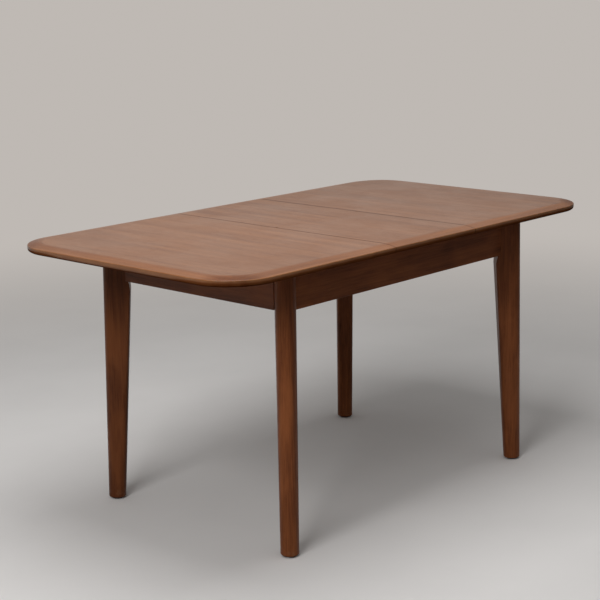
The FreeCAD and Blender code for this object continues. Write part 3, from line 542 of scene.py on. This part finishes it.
# A darker copy of the leg finish, as painted shade.
SHADED_LEG_WOOD = leg_finish("shaded_leg_wood", 0.7, LEG_SHADE_SHARE)
LONG_APRON_WOOD = apron_finish("long_apron_wood", ALONG_X, 0.9, LONG_APRON_GLOSS)
END_APRON_WOOD = apron_finish("end_apron_wood", ALONG_Y, 1.4, END_APRON_GLOSS)
print("leg finishes", LEG_WOOD.name, SHADED_LEG_WOOD.name)
print("apron finishes", LONG_APRON_WOOD.name, END_APRON_WOOD.name)

# %% [markdown]
# ## Runners, rails and blocks
# What works out of sight is left pale: hard wood, planed, rubbed with wax and neither stained
# nor lacquered. It is duller than the top, and handling has greyed it in patches. The corner
# blocks lie across the corners, so their grain runs on the diagonal.

# %% Waxed hardwood
PALE_STOPS = [
    (0.30, (0.36, 0.215, 0.110)),
    (0.50, (0.45, 0.285, 0.155)),
    (0.70, (0.54, 0.360, 0.210)),
]
PALE_BAND, PALE_STREAK = 0.018, 0.003
PALE_PORE, PALE_PORE_SHARE = (0.62, 0.52, 0.42), 0.6
GREYED, GREYED_SIZE = (0.30, 0.21, 0.135), 0.09
GREYED_NOISE, GREYED_SHARE = (0.50, 0.75), 0.35
WAX_ROUGHNESS = 0.55
EIGHTH_TURN = math.pi / 4


def waxed_wood(name, grain, shift):
    finish, tree, shader = new_finish(name)
    place = own_place(tree)
    wood, pores = grown_wood(tree, place, grain, PALE_STOPS, shift, PALE_BAND, PALE_STREAK)
    wood = darken(tree, wood, pores, PALE_PORE_SHARE, PALE_PORE)
    handled = patches(tree, place, GREYED_SIZE, detail=4.0, twist=0.5, shift=2.0)
    handled = ramp(tree, handled, *GREYED_NOISE, 0.0, GREYED_SHARE)
    wood = tint(tree, "MIX", handled, wood, GREYED)
    feed(tree, wood, shader.inputs["Base Color"])
    lacquer(tree, shader, place, pores, WAX_ROUGHNESS, 2 * PORE_DEPTH)
    return finish


RAIL_WOOD = waxed_wood("rail_wood", ALONG_X, 0.2)
CROSS_WOOD = waxed_wood("cross_rail_wood", ALONG_Y, 0.6)
PEG_WOOD = waxed_wood("peg_wood", ALONG_Z, 0.8)
FALLING_BLOCK = waxed_wood("block_wood_falling", (0.0, 0.0, -EIGHTH_TURN), 1.1)
RISING_BLOCK = waxed_wood("block_wood_rising", (0.0, 0.0, EIGHTH_TURN), 1.5)
print("waxed finishes:", RAIL_WOOD.name, CROSS_WOOD.name, PEG_WOOD.name)

# %% [markdown]
# ## Plated steel
# Bolts, nuts, brackets and pivots are zinc plated: a grey metal, cloudy, with faint yellow
# stains. The bolts show their thread, a saw of one pitch along the diagonal on which they
# lie, which is the sum of the folded X and Y. Flat pieces have fine scratches instead.

# %% Steel with and without a thread
ZINC_STOPS = [
    (0.35, (0.44, 0.44, 0.45)),
    (0.55, (0.58, 0.58, 0.59)),
    (0.75, (0.60, 0.57, 0.49)),
]
ZINC_CLOUD = 0.010
ZINC_ROUGHNESS = (0.30, 0.48)
SCRATCH_LENGTH, SCRATCH_WIDTH, SCRATCH_DEPTH = 0.02, 0.0004, 0.00004
THREAD_PITCH = 0.00125
THREAD_DEPTH = 0.0005
HALF_TURN = 0.5


def plated_steel(name, threaded=False):
    finish, tree, shader = new_finish(name)
    place = own_place(tree)
    clouds = patches(tree, place, ZINC_CLOUD, detail=5.0, twist=0.6, shift=1.0)
    feed(tree, colours(tree, clouds, ZINC_STOPS), shader.inputs["Base Color"])
    shader.inputs["Metallic"].default_value = 1.0
    feed(tree, ramp(tree, clouds, *MOST_NOISE, *ZINC_ROUGHNESS), shader.inputs["Roughness"])
    if threaded:
        quarter = folded(tree, place)
        reach = sum_up(tree, "ADD", axis_of(tree, quarter, "X"), axis_of(tree, quarter, "Y"))
        turns = sum_up(tree, "DIVIDE", reach, THREAD_PITCH * math.sqrt(2))
        relief(tree, shader, sum_up(tree, "PINGPONG", turns, HALF_TURN), THREAD_DEPTH)
    else:
        size = (SCRATCH_LENGTH, SCRATCH_WIDTH)
        scratches = streaks(tree, place, ALONG_Y, *size, detail=3.0, twist=0.2, shift=4.0)
        relief(tree, shader, scratches, SCRATCH_DEPTH)
    return finish


STEEL = plated_steel("plated_steel")
THREAD = plated_steel("threaded_steel", threaded=True)
print("thread of", THREAD_PITCH * 1000, "mm")

# %% [markdown]
# ## Brown brass and nylon
# The hinges let into the leaf are brass, browned, and brighter where the brown has worn. Bushes
# and glides are dark moulded nylon with a fine skin, dusty in places. Both finishes are one
# cloud that sets colour and roughness together, because what is worn is also smoother.

# %% Brass and nylon
BRASS_STOPS = [
    (0.30, (0.30, 0.165, 0.090)),
    (0.55, (0.42, 0.245, 0.135)),
    (0.80, (0.55, 0.35, 0.19)),
]
BRASS_CLOUD = 0.006
BRASS_ROUGHNESS = (0.50, 0.34)
NYLON_STOPS = [
    (0.40, (0.045, 0.038, 0.034)),
    (0.75, (0.10, 0.090, 0.080)),
]
NYLON_DUST = 0.012
NYLON_SKIN = 0.0009
NYLON_ROUGHNESS = (0.48, 0.66)
WORN_NOISE = (0.3, 0.8)
SKIN_DEPTH = 0.00005


def browned_brass():
    finish, tree, shader = new_finish("browned_brass")
    clouds = patches(tree, own_place(tree), BRASS_CLOUD, detail=5.0, twist=0.8, shift=6.0)
    feed(tree, colours(tree, clouds, BRASS_STOPS), shader.inputs["Base Color"])
    shader.inputs["Metallic"].default_value = 1.0
    feed(tree, ramp(tree, clouds, *WORN_NOISE, *BRASS_ROUGHNESS), shader.inputs["Roughness"])
    relief(tree, shader, clouds, SKIN_DEPTH)
    return finish


def moulded_nylon():
    finish, tree, shader = new_finish("moulded_nylon")
    place = own_place(tree)
    dust = patches(tree, place, NYLON_DUST, detail=4.0, shift=2.5)
    feed(tree, colours(tree, dust, NYLON_STOPS), shader.inputs["Base Color"])
    feed(tree, ramp(tree, dust, *WORN_NOISE, *NYLON_ROUGHNESS), shader.inputs["Roughness"])
    relief(tree, shader, patches(tree, place, NYLON_SKIN, detail=3.0, shift=8.0), SKIN_DEPTH)
    return finish


BRASS = browned_brass()
NYLON = moulded_nylon()
print("small finishes:", BRASS.name, NYLON.name)

# %% [markdown]
# ## Each part gets its finish
# A drawn part keeps its shape and takes a finish in its material slot. The first word or two
# of its name say which, so a short list of beginnings is enough. The first beginning that fits
# is taken, so the longer ones come first.

# %% Finish the drawn parts
FINISHES = {
    "top_field": FIELD_VENEER,
    "leaf_field": FIELD_VENEER,
    "top_edging": EDGING_WOOD,
    "leaf_edging": EDGING_WOOD,
    "leg_bolts": THREAD,
    "leg_bolt": STEEL,
    # The rear left leg takes the copy with painted shade.
    "leg_rear_left": SHADED_LEG_WOOD,
    "leg": LEG_WOOD,
    "apron_front": LONG_APRON_WOOD,
    "apron_rear": LONG_APRON_WOOD,
    "apron": END_APRON_WOOD,
    "corner_block_front_left": FALLING_BLOCK,
    "corner_block_rear_right": FALLING_BLOCK,
    "corner_block": RISING_BLOCK,
    "slide_rail": RAIL_WOOD,
    "runner": RAIL_WOOD,
    "stop_pegs": PEG_WOOD,
    "cross_rail_brackets": STEEL,
    "cross_rail": CROSS_WOOD,
    "foot_glides": NYLON,
    "pivot_bushes": NYLON,
    "pivot": STEEL,
    "fold_hinge": BRASS,
}

for name, part in parts.items():
    beginning = next(start for start in FINISHES if name.startswith(start))
    part.data.materials.clear()
    part.data.materials.append(FINISHES[beginning])
print("finished", len(parts), "drawn parts")

# %% [markdown]
# ## A wood screw
# Under the top everything is held by countersunk screws. One is modelled, and each group of
# screws is then copied from it: a disc whose lower face is drawn down and in to a cone and then
# to a shank, with the rim of its head eased by a bevel.

# %% Model the screw
SCREW_HEAD = 0.0080
SCREW_CAP = 0.0006
SCREW_CONE = 0.0024
SCREW_SHANK = 0.0036
SCREW_LENGTH = 0.012
SCREW_SIDES = 28
SCREW_POINT_SHARE = 0.9
FACING = 0.9
MIDDLE = (0.0, 0.0, 0.0)


def clear_choice():
    bpy.ops.object.select_all(action="DESELECT")


def pick_faces(piece, wanted):
    """Select, in edit mode, the faces whose normal a test picks."""
    bpy.ops.mesh.select_all(action="DESELECT")
    bpy.ops.object.mode_set(mode="OBJECT")
    for face in piece.data.polygons:
        face.select = wanted(face.normal)
    bpy.ops.object.mode_set(mode="EDIT")


def draw_out(reach, widen):
    """Extrude the chosen face along Z and make its end wider or narrower."""
    bpy.ops.mesh.extrude_region_move(TRANSFORM_OT_translate={"value": (0.0, 0.0, reach)})
    bpy.ops.transform.resize(value=(widen, widen, 1.0), center_override=MIDDLE)


clear_choice()
bpy.ops.mesh.primitive_cylinder_add(
    vertices=SCREW_SIDES,
    radius=SCREW_HEAD / 2,
    depth=SCREW_CAP,
    location=(0.0, 0.0, -SCREW_CAP / 2),
)
screw = bpy.context.object
screw.name = "wood_screw"
bpy.ops.object.transform_apply(location=True)
bpy.ops.object.mode_set(mode="EDIT")
bpy.ops.mesh.select_mode(type="FACE")
pick_faces(screw, lambda normal: normal.z < -FACING)
draw_out(-SCREW_CONE, SCREW_SHANK / SCREW_HEAD)
draw_out(-SCREW_LENGTH, SCREW_POINT_SHARE)
pick_faces(screw, lambda normal: normal.z > FACING)
bpy.ops.mesh.bevel(offset=SCREW_CAP / 3, segments=2, affect="EDGES")
bpy.ops.object.mode_set(mode="OBJECT")
print("screw", SCREW_HEAD * 1000, "mm across the head")

# %% [markdown]
# ## The cross in the head
# The cross is cut by a boolean, because two tapered bars are easier to shape than a hole. A
# cube is drawn to a bar, its lower face is made smaller, and a copy of it is turned across the
# first. The bars overlap, so the boolean is told to expect that.

# %% Cut the cross
CROSS_LENGTH = 0.0046
CROSS_WIDTH = 0.0011
CROSS_DEPTH = 0.0018
CROSS_TAPER_SHARES = (0.45, 0.8, 1.0)
SMOOTH_UNDER = math.radians(35)

clear_choice()
bpy.ops.mesh.primitive_cube_add(size=1.0)
cross = bpy.context.object
bpy.ops.object.mode_set(mode="EDIT")
bpy.ops.mesh.select_all(action="SELECT")
bpy.ops.transform.resize(value=(CROSS_LENGTH, CROSS_WIDTH, 2 * CROSS_DEPTH), center_override=MIDDLE)
bpy.ops.mesh.select_mode(type="FACE")
pick_faces(cross, lambda normal: normal.z < -FACING)
bpy.ops.transform.resize(value=CROSS_TAPER_SHARES, center_override=MIDDLE)
bpy.ops.mesh.select_all(action="SELECT")
bpy.ops.mesh.duplicate()
bpy.ops.transform.rotate(value=math.pi / 2, orient_axis="Z", center_override=MIDDLE)
bpy.ops.object.mode_set(mode="OBJECT")

clear_choice()
bpy.context.view_layer.objects.active = screw
screw.select_set(True)
recess = screw.modifiers.new("cross", "BOOLEAN")
recess.object = cross
recess.operation = "DIFFERENCE"
recess.solver = "EXACT"
recess.use_self = True
bpy.ops.object.modifier_apply(modifier="cross")
bpy.ops.object.shade_smooth_by_angle(angle=SMOOTH_UNDER)
bpy.data.objects.remove(cross)
print("screw with", len(screw.data.polygons), "faces")

# %% [markdown]
# ## Where the screws go
# A screw is set by the place of its head and the way the head looks. Copies of one group are
# joined to one piece, which rides on the body that they hold and takes that body's metal.
# Screws are never lined up by the maker, so each head is turned by chance, from a fixed seed.

# %% Set screws in groups
chance = random.Random(12)
HEAD_PROUD = 0.0001
DOWN = (0.0, 0.0, -1.0)


def screw_group(name, body, metal, seats, share=1.0):
    """Copies of the screw at seats, each a place and the way its head looks."""
    clear_choice()
    copies = []
    for place, looks in seats:
        copy = screw.copy()
        copy.data = screw.data.copy()
        bpy.context.collection.objects.link(copy)
        turn = Matrix.Rotation(chance.uniform(0.0, math.pi), 4, "Z")
        aim = Vector(looks).to_track_quat("Z", "Y").to_matrix().to_4x4()
        seat = Vector(place) + Vector(looks).normalized() * HEAD_PROUD * share
        copy.data.transform(Matrix.Translation(seat) @ aim @ turn @ Matrix.Scale(share, 4))
        copy.select_set(True)
        copies.append(copy)
    bpy.context.view_layer.objects.active = copies[0]
    bpy.ops.object.join()
    group = bpy.context.object
    group.name = name
    group.data.materials.clear()
    group.data.materials.append(metal)
    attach(group, body)
    print(name, len(copies), "screws,", len(group.data.polygons), "faces")


print("heads stand", HEAD_PROUD * 1000, "mm proud")

# %% [markdown]
# ## Screws under the runners
# Each runner hangs from the top by three long screws driven up from below, sunk in its lower
# face clear of the stop peg. They stand in the bar beside the dovetail tongue.

# %% Runner screws
RUNNER_SHARES = (0.08, 0.36, 0.90)
BAR_FROM_RAIL = 0.0105

for half in ("left", "right"):
    seats = []
    for side in ("front", "rear"):
        low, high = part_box(f"runner_{half}_{side}")
        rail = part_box(f"slide_rail_{side}")
        middle = (low.y + high.y) / 2
        outside = 1.0 if middle > (rail[0].y + rail[1].y) / 2 else -1.0
        bar = (rail[1].y if outside > 0 else rail[0].y) + outside * BAR_FROM_RAIL
        for share in RUNNER_SHARES:
            along = share if half == "left" else 1.0 - share
            seats.append(((low.x + (high.x - low.x) * along, bar, low.z), DOWN))
    screw_group(f"runner_screws_{half}", f"{half}_top", STEEL, seats)

# %% [markdown]
# ## Screws in the corner blocks
# A block is drawn tight to both aprons by screws through its wings. The block's wide face
# looks at the middle of the table along the diagonal, and the heads lie near its two ends.

# %% Corner block screws
BLOCK_END_SHARE = 0.72
BLOCK_LEVEL_SHARES = (0.22, 0.78)
ON_BACK = 0.001
TO_MIDDLE = {
    "front_left": (1, 1),
    "front_right": (-1, 1),
    "rear_right": (-1, -1),
    "rear_left": (1, -1),
}

seats = []
for corner, (side_x, side_y) in TO_MIDDLE.items():
    points = [Vector(vertex.co) for vertex in parts[f"corner_block_{corner}"].data.vertices]
    inward = Vector((side_x, side_y, 0.0)).normalized()
    across = Vector((-inward.y, inward.x, 0.0))
    back = max(point.dot(inward) for point in points)
    ends = [point.dot(across) for point in points if point.dot(inward) > back - ON_BACK]
    levels = [point.z for point in points]
    middle = (min(ends) + max(ends)) / 2
    half_run = (max(ends) - min(ends)) / 2
    for end in (-1, 1):
        for share in BLOCK_LEVEL_SHARES:
            level = min(levels) + share * (max(levels) - min(levels))
            spot = inward * back + across * (middle + end * half_run * BLOCK_END_SHARE)
            seats.append(((spot.x, spot.y, level), tuple(inward)))
screw_group("corner_block_screws", "frame", STEEL, seats)

# %% [markdown]
# ## Screws in the steel angles and the cross rails
# Two screws hold each leg of an angle. Long ones come up from under the cross rails into
# the slide rails that rest on them.

# %% Bracket and cross rail screws
ANGLE_THICK = 0.0025
ANGLE_LEVEL_SHARES = (0.28, 0.72)
ANGLE_REACH_SHARE = 0.62
ANGLE_SCREW_SHARE = 0.85

low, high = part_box("cross_rail_brackets")
rail_low, rail_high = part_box("cross_rail_right")
reach = ANGLE_REACH_SHARE * (high.x - rail_high.x)
seats = []
for side_x in (-1, 1):
    for side_y in (-1, 1):
        for share in ANGLE_LEVEL_SHARES:
            level = low.z + share * (high.z - low.z)
            on_rail = (side_x * (rail_high.x + ANGLE_THICK), side_y * (high.y - reach), level)
            on_apron = (side_x * (rail_high.x + reach), side_y * (high.y - ANGLE_THICK), level)
            seats.append((on_rail, (side_x, 0.0, 0.0)))
            seats.append((on_apron, (0.0, -side_y, 0.0)))
screw_group("bracket_screws", "frame", STEEL, seats, ANGLE_SCREW_SHARE)

seats = []
for side in ("front", "rear"):
    beam_low, beam_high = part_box(f"slide_rail_{side}")
    for side_x in (-1, 1):
        middle = side_x * (rail_low.x + rail_high.x) / 2
        seats.append(((middle, (beam_low.y + beam_high.y) / 2, rail_low.z), DOWN))
screw_group("cross_rail_screws", "frame", STEEL, seats)

# %% [markdown]
# ## Screws in the leaf's metal
# The pivot brackets are screwed up into the rear wing, each by two screws side by side and a
# third further in. The hinge plates in the leaf's ends take small screws, flush, because the
# leaf's end passes the half's edge with a hair's breadth to spare.

# %% Leaf screws
PLATE_THICK = 0.003
PIVOT_PAIR_IN = 0.022
PIVOT_THIRD_IN = 0.030
PIVOT_PLACES = ((PIVOT_PAIR_IN, 0.18), (PIVOT_PAIR_IN, 0.82), (PIVOT_THIRD_IN, 0.5))
PIVOT_SCREW_SHARE = 0.8
HINGE_SHARES = (0.28, 0.56, 0.84)
HINGE_SCREW_RISE = 0.0065
HINGE_SCREW_SHARE = 0.55

low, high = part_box("pivot_brackets")
seats = []
for side_x in (-1, 1):
    for inside, share in PIVOT_PLACES:
        across = low.y + share * (high.y - low.y)
        seats.append(((side_x * (high.x - inside), across, high.z - PLATE_THICK), DOWN))
screw_group("pivot_bracket_screws", "leaf_rear", STEEL, seats, PIVOT_SCREW_SHARE)

for side, sign in (("rear", 1), ("front", -1)):
    low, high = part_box(f"fold_hinge_{side}_plates")
    far = max(abs(low.y), abs(high.y))
    level = low.z + HINGE_SCREW_RISE
    seats = []
    for side_x in (-1, 1):
        for share in HINGE_SHARES:
            seats.append(((side_x * high.x, sign * far * share, level), (side_x, 0.0, 0.0)))
    group = f"hinge_screws_{side}"
    screw_group(group, f"leaf_{side}", BRASS, seats, HINGE_SCREW_SHARE)
bpy.data.objects.remove(screw)

# %% [markdown]
# ## A pale room
# The table stands on a pale floor that curves up into a round wall, so that the satin top has
# something to mirror from every side. It starts as a disc whose rim is extruded outwards and
# upwards through a quarter turn, and then up once more.

# %% Floor and wall
FLOOR_RADIUS = 5.6
COVE_RADIUS = 1.4
COVE_STEPS = 10
WALL_TOP = 3.4
ROOM_SIDES = 128
SMOOTH_ROOM_UNDER = math.radians(40)

cove = []
for step in range(1, COVE_STEPS + 1):
    turn = math.pi / 2 * step / COVE_STEPS
    cove.append((FLOOR_RADIUS + COVE_RADIUS * math.sin(turn), COVE_RADIUS * (1 - math.cos(turn))))
wall = (FLOOR_RADIUS + COVE_RADIUS, WALL_TOP)

clear_choice()
bpy.ops.mesh.primitive_circle_add(vertices=ROOM_SIDES, radius=FLOOR_RADIUS, fill_type="NGON")
room = bpy.context.object
room.name = "pale_room"
bpy.ops.object.mode_set(mode="EDIT")
bpy.ops.mesh.select_mode(type="EDGE")
bpy.ops.mesh.select_all(action="SELECT")
bpy.ops.mesh.region_to_loop()
reached, risen = FLOOR_RADIUS, 0.0
for radius, level in [*cove, wall]:
    widen = radius / reached
    bpy.ops.mesh.extrude_edges_move(TRANSFORM_OT_translate={"value": (0.0, 0.0, level - risen)})
    bpy.ops.transform.resize(value=(widen, widen, 1.0), center_override=(0.0, 0.0, level))
    reached, risen = radius, level
bpy.ops.mesh.select_all(action="SELECT")
bpy.ops.mesh.normals_make_consistent(inside=True)
bpy.ops.object.mode_set(mode="OBJECT")
bpy.ops.object.shade_smooth_by_angle(angle=SMOOTH_ROOM_UNDER)
print("room", 2 * reached, "m across, wall", WALL_TOP, "m high")

# %% [markdown]
# ## The room's plaster
# What is looked at is pale, and what only throws light back is darker, so that shadows keep
# their depth. Far from the table floor and wall have one even tone, and near it the floor takes
# the table's shadow. In the lacquer the side away from the window looks dim, as it would in a
# room with windows on one side. From outside the wall is clear, so no view is blocked.

# %% Plaster
WALL_TONE = (0.52, 0.485, 0.455)
FLOOR_TONE = (0.82, 0.80, 0.785)
BOUNCE_TONE = (0.22, 0.21, 0.205)
CLOUD_TONE, CLOUD_SIZE, CLOUD_SHARE = (0.94, 0.94, 0.94), 0.35, 0.5
PLASTER_ROUGHNESS = (0.86, 0.94)
PLASTER_GLOSS = 0.1
NEAR_TABLE = 1.3
FAR_FROM_TABLE = 4.2
LIT_SIDE = 2.4
DIM_SIDE = 5.2
DIM_TONE = (0.25, 0.25, 0.25)


def mix_shader(tree, amount, first, second):
    made = node(tree, "ShaderNodeMixShader")
    for socket, source in zip(made.inputs, (amount, first, second)):
        feed(tree, source, socket)
    return made.outputs["Shader"]


def pale_plaster():
    finish, tree, shader = new_finish("pale_plaster")
    place = own_place(tree)
    clouds = patches(tree, place, CLOUD_SIZE, detail=5.0)
    rays = node(tree, "ShaderNodeLightPath").outputs
    looked_at = sum_up(tree, "MAXIMUM", rays["Is Camera Ray"], rays["Is Glossy Ray"])
    looked_at = sum_up(tree, "MAXIMUM", looked_at, rays["Is Transmission Ray"])
    tone = tint(tree, "MIX", looked_at, BOUNCE_TONE, FLOOR_TONE)
    cloudy = ramp(tree, clouds, *MOST_NOISE, 0.0, CLOUD_SHARE)
    tone = tint(tree, "MULTIPLY", cloudy, tone, CLOUD_TONE)
    feed(tree, tone, shader.inputs["Base Color"])
    feed(tree, ramp(tree, clouds, *MOST_NOISE, *PLASTER_ROUGHNESS), shader.inputs["Roughness"])
    shader.inputs["Specular IOR Level"].default_value = PLASTER_GLOSS
    even = node(tree, "ShaderNodeEmission")
    to_left = sum_up(tree, "SUBTRACT", axis_of(tree, place, "Y"), axis_of(tree, place, "X"))
    dim = ramp(tree, to_left, -DIM_SIDE, -LIT_SIDE, 1.0, 0.0)
    dim = sum_up(tree, "MULTIPLY", rays["Is Glossy Ray"], dim)
    feed(tree, tint(tree, "MULTIPLY", dim, WALL_TONE, DIM_TONE), even.inputs["Color"])
    far_off = ramp(tree, vector_step(tree, "LENGTH", place), NEAR_TABLE, FAR_FROM_TABLE)
    far_off = sum_up(tree, "MULTIPLY", looked_at, far_off)
    inside = mix_shader(tree, far_off, shader.outputs["BSDF"], even.outputs["Emission"])
    clear = node(tree, "ShaderNodeBsdfTransparent").outputs["BSDF"]
    behind = node(tree, "ShaderNodeNewGeometry").outputs["Backfacing"]
    seen = mix_shader(tree, behind, inside, clear)
    feed(tree, seen, tree.nodes["Material Output"].inputs["Surface"])
    return finish


room.data.materials.append(pale_plaster())
print("plaster even beyond", FAR_FROM_TABLE, "m")

# %% [markdown]
# ## Soft light from above
# A soft panel hangs over the table, a little nearer to its left end, so that the top is lit
# full and the faces under it lie in gentle shade. A wider one stands high on the left, as a
# window would, and shows the turn of the rim and the legs. The sky over the open room fills in.

# %% Lights
SKY_TONE = (1.0, 0.99, 0.975, 1.0)
SKY_STRENGTH = 0.35


def soft_panel(name, at, towards, side, watts):
    lamp = bpy.data.lights.new(name, "AREA")
    lamp.shape = "SQUARE"
    lamp.size = side
    lamp.energy = watts
    panel = bpy.data.objects.new(name, lamp)
    panel.location = at
    panel.rotation_euler = (Vector(towards) - Vector(at)).to_track_quat("-Z", "Y").to_euler()
    panel.visible_camera = False
    bpy.context.scene.collection.objects.link(panel)


soft_panel("ceiling_panel", at=(-0.35, -0.1, 2.4), towards=(-0.35, -0.1, 0.0), side=1.3, watts=22.0)
soft_panel("window_panel", at=(-3.6, -1.1, 3.0), towards=(0.0, 0.0, 0.4), side=1.8, watts=68.0)

world = bpy.data.worlds.new("sky")
bpy.context.scene.world = world
world.use_nodes = True
sky = world.node_tree.nodes["Background"]
sky.inputs["Color"].default_value = SKY_TONE
sky.inputs["Strength"].default_value = SKY_STRENGTH
bpy.context.scene.view_settings.view_transform = "Standard"
print("lit by", len(bpy.data.lights), "panels and the sky")

# %% [markdown]
# ## The camera
# The camera was fitted to the edges of the top and the four feet. It stands off the left front
# corner, at about chest height, and looks down by about thirteen degrees. Its three directions
# are worked out from yaw, pitch and roll, and make up its matrix.

# %% Camera
LENS = 88.40
STANDS_AT = (-3.015, -2.668, 1.435)
YAW, PITCH, ROLL = (math.radians(angle) for angle in (42.265, 12.784, -0.835))

level_ahead = Vector((math.cos(YAW), math.sin(YAW), 0.0))
level_right = Vector((math.sin(YAW), -math.cos(YAW), 0.0))
ahead = math.cos(PITCH) * level_ahead + Vector((0.0, 0.0, -math.sin(PITCH)))
level_up = level_right.cross(ahead)
right = math.cos(ROLL) * level_right + math.sin(ROLL) * level_up
up = math.cos(ROLL) * level_up - math.sin(ROLL) * level_right
facing = Matrix((right, up, -ahead)).transposed().to_4x4()
lens = bpy.data.cameras.new("viewer")
lens.lens = LENS
viewer = bpy.data.objects.new("viewer", lens)
viewer.matrix_world = Matrix.Translation(STANDS_AT) @ facing
bpy.context.scene.collection.objects.link(viewer)
bpy.context.scene.camera = viewer
print("camera", [round(number, 3) for number in viewer.location])
